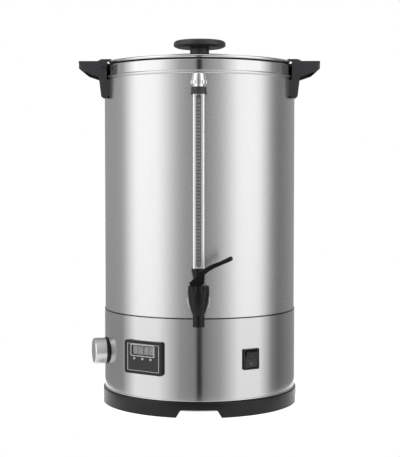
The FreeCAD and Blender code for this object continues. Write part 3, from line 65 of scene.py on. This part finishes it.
# %% Wires
class Wire:
    """One output socket of a finish. Adding, subtracting or multiplying wires adds Math nodes."""

    def __init__(self, finish, socket):
        self.finish = finish
        self.socket = socket

    def math(self, operation, first, second):
        return self.finish.node("ShaderNodeMath", {"operation": operation}, {0: first, 1: second})

    def __add__(self, other):
        return self.math("ADD", self, other)

    def __radd__(self, other):
        return self.math("ADD", other, self)

    def __sub__(self, other):
        return self.math("SUBTRACT", self, other)

    def __rsub__(self, other):
        return self.math("SUBTRACT", other, self)

    def __mul__(self, other):
        return self.math("MULTIPLY", self, other)

    def __rmul__(self, other):
        return self.math("MULTIPLY", other, self)


# %% [markdown]
# A Finish is the material itself. Its node method makes any node: the settings come first, since
# they can change which sockets a node has, and then the values or wires of its sockets.
# Every pattern reads Object coordinates, so it stays on the piece when the piece moves.

# %% Finishes
class Finish:
    """A material, or another owner of a node tree, with one method that adds any node to it."""

    def __init__(self, name, owner=None):
        self.material = owner or bpy.data.materials.new(name)
        self.material.use_nodes = True
        self.tree = self.material.node_tree
        self.tree.nodes.clear()
        self.place = self.node("ShaderNodeTexCoord", output="Object")

    def node(self, kind, settings=None, values=None, output=0):
        made = self.tree.nodes.new(kind)
        for name, value in (settings or {}).items():
            if name == "stops":
                self.set_stops(made.color_ramp, value)
            else:
                setattr(made, name, value)
        for key, value in (values or {}).items():
            if isinstance(value, Wire):
                self.tree.links.new(value.socket, made.inputs[key])
            else:
                made.inputs[key].default_value = value
        return Wire(self, made.outputs[output])

    def set_stops(self, ramp, stops):
        for i, (position, level) in enumerate(stops):
            stop = ramp.elements[i] if i < 2 else ramp.elements.new(position)
            stop.position = position
            stop.color = grey(level)

    def stretched(self, x, y, z):
        """Object coordinates with another scale along each axis."""
        return self.node("ShaderNodeMapping", None, {"Vector": self.place, "Scale": (x, y, z)})

    def axis(self, name):
        """One of the coordinates X, Y or Z, in metres."""
        return self.node("ShaderNodeSeparateXYZ", None, {0: self.place}, output=name)

    def noise(self, scale, place=None, detail=4.0):
        values = {"Vector": place or self.place, "Scale": scale, "Detail": detail}
        return self.node("ShaderNodeTexNoise", None, values)

    def step(self, value, low, high):
        """0 where the value is below low, 1 where it is above high."""
        values = {"Value": value, "From Min": low, "From Max": high}
        return self.node("ShaderNodeMapRange", {"interpolation_type": "SMOOTHSTEP"}, values)

    def tint(self, factor, first, second):
        return self.node("ShaderNodeMix", {"data_type": "RGBA"}, {0: factor, 6: first, 7: second}, output=2)

    def bump(self, height, depth):
        return self.node("ShaderNodeBump", None, {"Height": height, "Distance": depth})

    def surface(self, values):
        """The shader at the end of the tree, and the material that it makes."""
        shader = self.node("ShaderNodeBsdfPrincipled", None, values)
        self.end(shader)
        return self.material

    def end(self, shader, output="ShaderNodeOutputMaterial"):
        last = self.tree.nodes.new(output)
        self.tree.links.new(shader.socket, last.inputs["Surface"])


def grey(level):
    return (level, level, level, 1.0)


print("a finish has these helpers:", [name for name in vars(Finish) if not name.startswith("_")])

# %% [markdown]
# ## Bare metals
# All the metals share one idea: long, thin noise for the lines of the grain, and a wide, soft noise
# for the places where hands and cloths have changed the gloss. The lines run where the noise is
# stretched least, so a large factor along Z gives lines that go round the urn.

# %% One recipe for metal
def metal(finish, dark, light, roughness, grain, depth, drawn=0.0, painted_groove_shade=0.0):
    """Bare metal. Grain holds the factors of its lines, depth their relief, and drawn how far they
    draw out its highlights. The last argument is a mask of the places painted dark as painted shade."""
    lines = finish.noise(1.0, finish.stretched(*grain), 2.0)
    smudge = finish.noise(11.0)
    scuffs = finish.step(finish.noise(34.0, finish.stretched(1, 1, 0.35), 2.0), 0.66, 0.72)
    return finish.surface({
        "Base Color": finish.tint(painted_groove_shade, finish.tint(lines, dark, light), grey(0.05)),
        "Metallic": 1.0,
        "Roughness": roughness + 0.05 * (smudge - 0.5) + 0.04 * (lines - 0.5) + 0.03 * scuffs,
        "Anisotropic": drawn,
        "Anisotropic Rotation": 0.25,
        "Normal": finish.bump(lines, depth),
    })


finishes = {}
print("finishes so far:", len(finishes))

# %% [markdown]
# The tank's wall is satin: rolled sheet with a fine grain that blurs what it mirrors. Its mouth
# was polished after forming, so one material does both, with a mask on the height.

# %% Tank steel
collar_bottom = 510.8 * mm
mask_edge = 0.8 * mm
tank_finish = Finish("tank_steel")
polished = tank_finish.step(tank_finish.axis("Z"), collar_bottom, collar_bottom + mask_edge)
satin = 0.27
gained = 0.17
finishes["tank_steel"] = metal(tank_finish, grey(0.568), grey(0.588), satin - gained * polished,
                               (3, 3, 2600), 0.6 * micron, drawn=0.4)
print("nodes in the tank's steel:", len(finishes["tank_steel"].node_tree.nodes))

# %% [markdown]
# The sleeve below was brushed round with a coarser belt. The brush lines lie level, so highlights
# are drawn out up and down, which is what Anisotropic does here. A band just under its top edge is
# painted dark, as painted shade in the recess at the joint. The other metals differ only in numbers,
# so they come from one table.

# %% Housing, bright and turned metals
housing_finish = Finish("housing_steel")
joint_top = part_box("lower_housing")[1][2]
# Painted shade: a band just under the housing's top edge is painted near black, for the shade in the recess
# at the joint.
joint_painted_shade = housing_finish.step(housing_finish.axis("Z"), joint_top - 2.2 * mm, joint_top - 1.4 * mm)
finishes["housing_steel"] = metal(housing_finish, grey(0.49), grey(0.53), 0.13, (3, 3, 2200),
                                  1.0 * micron, drawn=0.6, painted_groove_shade=joint_painted_shade)

# Name: dark tone, light tone, roughness, factors of the grain, relief in microns.
metals = {
    "bright_steel": (grey(0.60), grey(0.68), 0.14, (30, 30, 300), 3.0),
    "guard_steel": (grey(0.86), grey(0.93), 0.42, (240, 240, 20), 6.0),
    "chrome": (grey(0.70), grey(0.76), 0.07, (60, 60, 60), 2.0),
    "flange_chrome": (grey(0.30), grey(0.36), 0.22, (90, 90, 90), 4.0),
    "dark_steel": (grey(0.02), grey(0.03), 0.30, (90, 90, 90), 4.0),
    "aluminium": (grey(0.58), grey(0.68), 0.30, (500, 500, 500), 12.0),
    "zinc": ((0.42, 0.43, 0.45, 1), (0.55, 0.56, 0.58, 1), 0.38, (120, 120, 120), 20.0),
    "brass": ((0.50, 0.36, 0.14, 1), (0.62, 0.46, 0.20, 1), 0.30, (200, 200, 200), 10.0),
}
for name, (dark, light, roughness, grain, depth) in metals.items():
    finishes[name] = metal(Finish(name), dark, light, roughness, grain, depth * micron)
print("metals:", list(finishes))

# %% [markdown]
# ## Plastics and rubber
# Moulded plastic is never quite one colour: the grain of the mould makes fine relief, hands rub some
# places smoother, and a faint cloudiness comes from cleaning. The same recipe serves the black
# mouldings, the smooth rocker, the silicone, the print and the white parts, with other numbers.

# %% One recipe for plastic
def plastic(name, dark, light, roughness, grain, depth, shine):
    """Moulded plastic. Grain and depth are the scale and relief of the mould's own texture."""
    finish = Finish(name)
    clouds = finish.noise(22.0)
    mould = finish.noise(grain, detail=2.0)
    rubbed = finish.step(finish.noise(5.0, detail=2.0), 0.45, 0.75)
    return finish.surface({
        "Base Color": finish.tint(clouds, dark, light),
        "Roughness": roughness + 0.14 * (clouds - 0.5) - 0.07 * rubbed,
        "Specular IOR Level": shine,
        "Normal": finish.bump(mould, depth),
    })


# Name: dark tone, light tone, roughness, scale of the grain, relief in microns, shine.
plastics = {
    "moulded_black": ((0.022, 0.020, 0.023, 1), (0.030, 0.027, 0.031, 1), 0.42, 1500.0, 30.0, 0.5),
    "black_plastic": (grey(0.003), grey(0.006), 0.25, 1500.0, 10.0, 0.28),
    "tap_black": (grey(0.004), grey(0.007), 0.30, 1200.0, 10.0, 0.22),
    "black_gloss": (grey(0.004), grey(0.007), 0.16, 700.0, 6.0, 0.4),
    "silicone": (grey(0.03), grey(0.05), 0.62, 900.0, 30.0, 0.5),
    "white_plastic": (grey(0.62), grey(0.72), 0.42, 900.0, 20.0, 0.5),
    "print_white": (grey(0.60), grey(0.72), 0.50, 1800.0, 20.0, 0.5),
    "print_grey": (grey(0.42), grey(0.48), 0.50, 1800.0, 20.0, 0.5),
    "mark_grey": (grey(0.10), grey(0.14), 0.50, 1800.0, 20.0, 0.5),
    "bar_grey": (grey(0.72), grey(0.80), 0.50, 1800.0, 20.0, 0.5),
    "board_green": ((0.02, 0.10, 0.04, 1), (0.03, 0.15, 0.06, 1), 0.40, 600.0, 20.0, 0.5),
}
for name, (dark, light, roughness, grain, depth, shine) in plastics.items():
    finishes[name] = plastic(name, dark, light, roughness, grain, depth * micron, shine)
print("plastics:", list(plastics))

# %% [markdown]
# The sight glass is thin walled, so it hardly bends what is behind it. Instead of a true glass,
# which would keep the lamps' light off the scale inside, it gets Alpha: nearly clear where it is
# seen straight on, and more of a mirror towards its edges. Layer Weight gives that share.

# %% Clear and smoked
def clear(name, dark, light, roughness, haze, edge):
    """A clear piece. Haze is its own share seen straight on, edge what is added at its rim."""
    finish = Finish(name)
    film = finish.noise(160.0, finish.stretched(1, 1, 0.25))
    rim = finish.node("ShaderNodeLayerWeight", None, {"Blend": 0.35}, output="Fresnel")
    return finish.surface({
        "Base Color": finish.tint(film, dark, light),
        "Roughness": roughness + 0.06 * film,
        "IOR": 1.47,
        "Alpha": haze + edge * rim + 0.05 * film,
        "Normal": finish.bump(film, 4.0 * micron),
    })


finishes["glass"] = clear("glass", (0.30, 0.32, 0.33, 1), (0.42, 0.44, 0.45, 1), 0.02, 0.02, 0.30)
finishes["smoked"] = clear("smoked", grey(0.10), grey(0.14), 0.05, 0.05, 0.25)
print("finishes so far:", len(finishes))

# %% [markdown]
# The level scale is a pale strip with dark raised marks. The marks stand a quarter of a millimetre
# out of the strip, so a mask on the distance to the front tells ink from strip.

# %% Scale
strip_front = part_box("gauge_scale")[0][1]
scale_finish = Finish("scale_print")
forward = -1.0 * scale_finish.axis("Y")
ink = scale_finish.step(forward, -strip_front - 0.2 * mm, -strip_front - 0.1 * mm)
stain = scale_finish.noise(90.0)
finishes["scale_print"] = scale_finish.surface({
    "Base Color": scale_finish.tint(ink, grey(0.78), grey(0.02)),
    "Roughness": 0.45 + 0.2 * (stain - 0.5),
    "Normal": scale_finish.bump(stain, 10.0 * micron),
})
print("the marks stand out to y =", round(strip_front, 5))

# %% [markdown]
# ## Which solid gets which finish
# A list per finish is easier to read than a line per solid. The loop also counts what is left over,
# so that no solid keeps the plain grey it came with.

# %% Finishes by solid
solids_in = {
    "tank_steel": ["tank", "tank_floor"],
    "housing_steel": ["lower_housing"],
    "bright_steel": ["lid", "heater_tube", "temperature_probe", "gauge_tee", "tap_stem", "tap_spring"],
    "guard_steel": ["gauge_guard"],
    "dark_steel": ["lever_pin"],
    "flange_chrome": ["tap_flange"],
    "chrome": ["gauge_ring", "gauge_cap", "tap_nut"],
    "aluminium": ["side_knob"],
    "zinc": ["knob_shaft", "case_screws", "handle_screws", "lid_screw", "bottom_plate",
             "board_transformer", "thermostat_clip"],
    "brass": ["heater_glands", "floor_nuts", "inlet_pins", "board_posts"],
    "moulded_black": ["handle_left", "handle_right", "lid_knob", "gauge_collar"],
    "black_plastic": ["base_ring", "controller_case", "switch_body", "knob_ring", "knob_control",
                      "power_inlet", "boil_dry_thermostat"],
    "tap_black": ["gauge_cup", "tap_lever", "tap_body", "tap_bonnet"],
    "black_gloss": ["controller_face", "switch_rocker", "board_relay"],
    "print_grey": ["display_module"],
    "silicone": ["water_seals", "tank_washers", "lid_gasket", "seat_cup"],
    "white_plastic": ["button_left", "button_middle", "button_right", "terminal_block"],
    "board_green": ["control_board", "controller_board"],
    "glass": ["sight_glass"],
    "smoked": ["display_lens"],
    "scale_print": ["gauge_scale"],
}
bare = set(nodes)
for finish_name, solids in solids_in.items():
    for name in solids:
        slots = nodes[name].data.materials
        slots.clear()
        slots.append(finishes[finish_name])
        bare.discard(name)
print("solids without a finish:", sorted(bare))

# %% [markdown]
# ## Small pieces on the solids
# The new pieces are made with the tools of edit mode, lying flat at the origin, and then carried to
# their place by one matrix that is applied to the mesh, so each object ends at the origin, unturned.

# %% Helpers for flat pieces
def begin(name):
    """Name the primitive that was just added and go into edit mode with all of it selected."""
    piece = bpy.context.object
    piece.name = name
    piece.data.name = name
    bpy.ops.object.mode_set(mode="EDIT")
    bpy.ops.mesh.select_all(action="SELECT")
    return piece


def rectangle(name, width, height, corner=0.0, segments=4):
    """An upright rectangle that looks along -Y, with rounded corners."""
    bpy.ops.mesh.primitive_plane_add(size=1.0, rotation=(math.radians(90), 0, 0))
    bpy.context.object.scale = (width, height, 1.0)
    bpy.ops.object.transform_apply(location=False, rotation=True, scale=True)
    piece = begin(name)
    if corner:
        bpy.ops.mesh.bevel(affect="VERTICES", offset=corner, segments=segments)
    return piece


def disc(name, radius, points=40):
    bpy.ops.mesh.primitive_circle_add(vertices=points, radius=radius, fill_type="NGON",
                                      rotation=(math.radians(90), 0, 0))
    bpy.ops.object.transform_apply(location=False, rotation=True, scale=False)
    return begin(name)


def thicken(depth, line=None):
    """Cut the middle out, if a line width is given, and pull the flat shape forward."""
    if line:
        bpy.ops.mesh.select_all(action="SELECT")
        bpy.ops.mesh.inset(thickness=line)
        bpy.ops.mesh.delete(type="FACE")
    bpy.ops.mesh.select_all(action="SELECT")
    bpy.ops.mesh.extrude_region_move(TRANSFORM_OT_translate={"value": (0, -depth, 0)})
    bpy.ops.mesh.select_all(action="SELECT")
    bpy.ops.mesh.normals_make_consistent(inside=False)
    bpy.ops.object.mode_set(mode="OBJECT")


def settle(piece, place):
    """Carry a piece to its place and put that place into its mesh."""
    bpy.ops.object.select_all(action="DESELECT")
    piece.select_set(True)
    bpy.context.view_layer.objects.active = piece
    piece.matrix_world = place @ piece.matrix_world
    bpy.ops.object.transform_apply(location=True, rotation=True, scale=True)


def dress(piece, finish_name, body="urn"):
    piece.data.materials.clear()
    piece.data.materials.append(finishes[finish_name])
    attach(piece, body)
    bpy.ops.object.select_all(action="DESELECT")
    print(piece.name, "has", len(piece.data.polygons), "faces and rides on", body)


# %% [markdown]
# The controller looks along a line 33 degrees to the left of the front. A pale line runs round its
# face, and another frames the display. Both are thin inlays that stand just out of the face.

# %% Lines on the controller
controller_turn = Matrix.Rotation(math.radians(-33.0), 4, "Z")
face_front = 153.3 * mm
face_middle = 85.55 * mm
window_middle = 96.15 * mm
window_shift = -1.0 * mm
inlay_bite = 0.02 * mm


def on_controller(piece, aside, front, height):
    """Carry a piece to its place, given from the middle of the controller and its own front."""
    settle(piece, controller_turn @ Matrix.Translation((aside, -front, height)))


rectangle("face_line", width=58.0 * mm, height=41.5 * mm, corner=1.2 * mm)
thicken(depth=0.12 * mm, line=0.9 * mm)
on_controller(bpy.context.object, 0, face_front - inlay_bite, face_middle)
dress(bpy.context.object, "print_white")

rectangle("window_line", width=43.6 * mm, height=18.0 * mm, corner=1.5 * mm)
thicken(depth=0.35 * mm, line=1.2 * mm)
on_controller(bpy.context.object, window_shift, face_front - inlay_bite, window_middle)
dress(bpy.context.object, "print_white")

# %% [markdown]
# The display is off, so its four digits show as seven grey bars each. One bar is modelled, with
# pointed ends, and copied: a digit is a list of places and turns for its bars.

# %% Digits
digit_count = 4
digit_width = 5.0 * mm
digit_height = 9.2 * mm
digit_pitch = 10.0 * mm
bar_length = 4.3 * mm
bar_width = 0.95 * mm
bar_point = 0.45 * mm
bar_depth = 0.25 * mm
slant = 0.12
well_floor = 150.2 * mm
bar = rectangle("digit_bar", bar_length, bar_width, bar_point, segments=1)
thicken(depth=bar_depth)
half_w = digit_width / 2
half_h = digit_height / 2
bars = [(0, half_h, 0), (0, 0, 0), (0, -half_h, 0)]
bars += [(side * half_w, rise * half_h / 2, 90) for side in (-1, 1) for rise in (-1, 1)]
copies = []
for digit in range(digit_count):
    centre = (digit - (digit_count - 1) / 2) * digit_pitch
    for x, z, turn in bars:
        copy = bar.copy()
        copy.data = bar.data.copy()
        bpy.context.collection.objects.link(copy)
        copy.matrix_world = (Matrix.Translation((centre + x + slant * z, 0, z))
                             @ Matrix.Rotation(math.radians(turn), 4, "Y"))
        copies.append(copy)
bpy.data.objects.remove(bar)
bpy.ops.object.select_all(action="DESELECT")
for copy in copies:
    copy.select_set(True)
bpy.context.view_layer.objects.active = copies[0]
bpy.ops.object.join()
digits = bpy.context.object
bpy.ops.object.transform_apply(location=True, rotation=True, scale=True)
digits.name = "display_digits"
on_controller(digits, window_shift, well_floor, window_middle)
dress(digits, "bar_grey")

# %% [markdown]
# Each of the three buttons is a pale cap with a dimple in its middle, which makes it look
# like a small ring. The dimple's shade is painted: a thin dark disc that rides with its own button.

# %% Painted shade in the button dimples
dimple_shade_radius = 0.75 * mm
dimple_shade_depth = 0.06 * mm
mark_bite = 0.01 * mm
to_controller = controller_turn.inverted()
for name in ("left", "middle", "right"):
    low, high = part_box("button_" + name)
    upright = to_controller @ ((Vector(low) + Vector(high)) / 2)
    # Painted shade: a thin dark disc stands for the shade in each button's dimple.
    disc("button_dimple_shade_" + name, dimple_shade_radius, points=20)
    thicken(depth=dimple_shade_depth)
    button_front = max(-(to_controller @ v.co).y for v in nodes["button_" + name].data.vertices)
    on_controller(bpy.context.object, upright.x, button_front - mark_bite, upright.z)
    dress(bpy.context.object, "black_plastic", "key_" + name)

# %% [markdown]
# The rocker carries a bar for on and a ring for off. Its face is a shallow valley of two flats, so
# each mark leans with its own flat before the whole rocker leans about its pivot.

# %% Marks on the rocker
switch_turn = Matrix.Rotation(math.radians(30.7), 4, "Z")
pivot = Matrix.Translation((0, -148.4 * mm, 84.25 * mm))
lean = math.radians(8.0)
rocker_lean = Matrix.Rotation(lean, 4, "X")
valley = Matrix.Translation((0, -4.8 * mm, 0))
mark_depth = 0.08 * mm


def on_rocker(piece, side, height):
    """Carry a mark to its flat: side is 1 for the upper flat and -1 for the lower one."""
    flat_lean = Matrix.Rotation(side * lean, 4, "X")
    lift = Matrix.Translation((0, mark_bite, height))
    settle(piece, switch_turn @ pivot @ rocker_lean @ valley @ flat_lean @ lift)
    dress(piece, "mark_grey", "rocker")


rectangle("mark_on", width=0.8 * mm, height=4.2 * mm, corner=0.2 * mm, segments=2)
thicken(depth=mark_depth)
on_rocker(bpy.context.object, 1, 4.2 * mm)
disc("mark_off", radius=2.2 * mm)
thicken(depth=mark_depth, line=0.75 * mm)
on_rocker(bpy.context.object, -1, -6.6 * mm)

# %% [markdown]
# ## The spring in the tap
# When the lever is pulled, the seat cup rises and shortens the spring above it. A solid can't do
# that, so a copy of its mesh stands for it. A copy of its mesh stands for it, with its loose
# triangles merged first.

# %% Spring
spring = bpy.data.objects.new("wound_spring", nodes["tap_spring"].data.copy())
bpy.context.collection.objects.link(spring)
bpy.context.view_layer.objects.active = spring
spring.select_set(True)
bpy.ops.object.mode_set(mode="EDIT")
bpy.ops.mesh.select_all(action="SELECT")
bpy.ops.mesh.remove_doubles(threshold=0.001 * mm)
bpy.ops.object.mode_set(mode="OBJECT")
bpy.ops.object.shade_smooth_by_angle(angle=math.radians(40))
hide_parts("tap_spring")
dress(spring, "bright_steel")
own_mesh(spring)

# %% [markdown]
# ## The studio
# Metal shows what stands around it more than its own colour. A round wall of light, seen only in
# reflections, gives the urn what a photographer would: two broad soft panels at the left and the
# right, a dark gap where the camera stands, and dark sides that draw its edges.

# %% Wall of light
wall_radius = 2.6
wall_height = 6.0
wall_middle = 1.6
bpy.ops.mesh.primitive_cylinder_add(vertices=96, radius=wall_radius, depth=wall_height,
                                    end_fill_type="NOTHING", location=(0, 0, wall_middle))
wall = bpy.context.object
wall.name = "light_wall"
bpy.ops.object.transform_apply(location=True)
light_finish = Finish("light_wall")
brightest = 1.8
foot_share = 0.86
# Each tone is a bearing in degrees, 0 in front and 90 at the right, and a level.
panels = [(-180, 0.34), (-148, 0.42), (-118, 0.48), (-102, 0.50), (-80, 1.66), (-48, 1.60), (-22, 0.56),
          (-4, 0.42), (-2.2, 0.04), (2.2, 0.04), (4, 0.36), (24, 0.66), (46, 1.58), (74, 1.58), (94, 0.42),
          (106, 0.24), (128, 0.36), (152, 0.42), (180, 0.34)]
stops = [(0.5 + angle / 360.0, level / brightest) for angle, level in panels]
bearing = light_finish.axis("X").math("ARCTAN2", light_finish.axis("X"), -1.0 * light_finish.axis("Y"))
turn = bearing * (0.5 / math.pi) + 0.5
ramp = light_finish.node("ShaderNodeValToRGB", {"stops": stops}, {0: turn})
raised = light_finish.step(light_finish.axis("Z"), -0.4, 0.3)
power = brightest * (foot_share + (1 - foot_share) * raised)
light_finish.end(light_finish.node("ShaderNodeEmission", None, {"Color": ramp, "Strength": power}))
wall.data.materials.append(light_finish.material)
for kind in ("camera", "diffuse", "transmission", "volume_scatter", "shadow"):
    setattr(wall, "visible_" + kind, False)
print("the wall has", len(stops), "tones round it")

# %% [markdown]
# The floor is pale and plain. Part of its brightness is its own, for what looks at it directly or
# in a mirror, so it reaches white without more light on the urn, and it still keeps the shadow.

# %% Floor
def seen_ray(finish):
    """1 for a ray from the camera, a mirror or a clear piece, and 0 for the others."""
    kinds = ("Is Camera Ray", "Is Glossy Ray", "Is Transmission Ray")
    direct, mirrored, through = [finish.node("ShaderNodeLightPath", output=kind) for kind in kinds]
    return direct + mirrored + through


floor_radius = 0.25
bpy.ops.mesh.primitive_circle_add(vertices=128, radius=floor_radius, fill_type="NGON")
floor = bpy.context.object
floor.name = "floor"
floor_finish = Finish("floor")
paint = floor_finish.node("ShaderNodeBsdfDiffuse", None, {"Color": grey(0.5)})
own_light = {"Color": grey(0.88), "Strength": seen_ray(floor_finish)}
glow = floor_finish.node("ShaderNodeEmission", None, own_light)
floor_finish.end(floor_finish.node("ShaderNodeAddShader", None, {0: paint, 1: glow}))
floor.data.materials.append(floor_finish.material)
print("floor radius in metres:", floor_radius)

# %% [markdown]
# Four soft lamps light the plastic and the scale behind the clear tube. No surface mirrors them. A
# pale world fills the shadows, and looks white where it is seen.

# %% Lamps and world
def lamp(name, place, size, watts):
    bpy.ops.object.light_add(type="AREA", location=place)
    light = bpy.context.object
    light.name = name
    light.data.shape = "RECTANGLE"
    light.data.size = size[0]
    light.data.size_y = size[1]
    light.data.energy = watts
    aim = Vector((0, 0, 0.3)) - Vector(place)
    light.rotation_euler = aim.to_track_quat("-Z", "Y").to_euler()
    light.visible_glossy = False


lamp("lamp_left", (-1.7, -1.2, 1.5), (1.2, 1.6), 11.0)
lamp("lamp_right", (1.7, -1.2, 1.5), (1.2, 1.6), 9.0)
lamp("lamp_front", (0.0, -2.4, 1.0), (0.7, 0.7), 8.0)
lamp("lamp_top", (0.0, 0.2, 2.4), (1.8, 1.8), 6.0)

world = bpy.data.worlds.new("studio")
bpy.context.scene.world = world
sky = Finish("studio", world)
shadow_fill = 0.55
fill = sky.node("ShaderNodeBackground", None, {"Color": grey(1.0), "Strength": shadow_fill})
white = sky.node("ShaderNodeBackground", None, {"Color": grey(1.0), "Strength": 1.0})
choice = sky.node("ShaderNodeMixShader", None, {0: seen_ray(sky), 1: fill, 2: white})
sky.end(choice, "ShaderNodeOutputWorld")
bpy.context.scene.view_settings.view_transform = "Standard"

# %% [markdown]
# ## The camera
# The camera stands 1.8 m away, a little above the middle of the urn, and is tilted down by just
# under three degrees, which fits the photograph. There the gauge stands a hair left of the lid's
# knob, so the camera stands a fraction of a degree to the right of the front.

# %% Camera
distance = 1.8
height = 0.361
shift = 0.6 * mm
aside = math.radians(0.4)
tilt = math.radians(2.82)
sensor = 36.0
focal_pixels = 1129.0
image_height = 457.0
place = (distance * math.sin(aside) + shift, -distance * math.cos(aside), height)
bpy.ops.object.camera_add(location=place, rotation=(math.radians(90) - tilt, 0, aside))
camera = bpy.context.object
camera.data.sensor_width = sensor
camera.data.lens = sensor * focal_pixels / image_height
bpy.context.scene.camera = camera
print("lens in millimetres:", round(camera.data.lens, 2))

# %% [markdown]
# ## The end
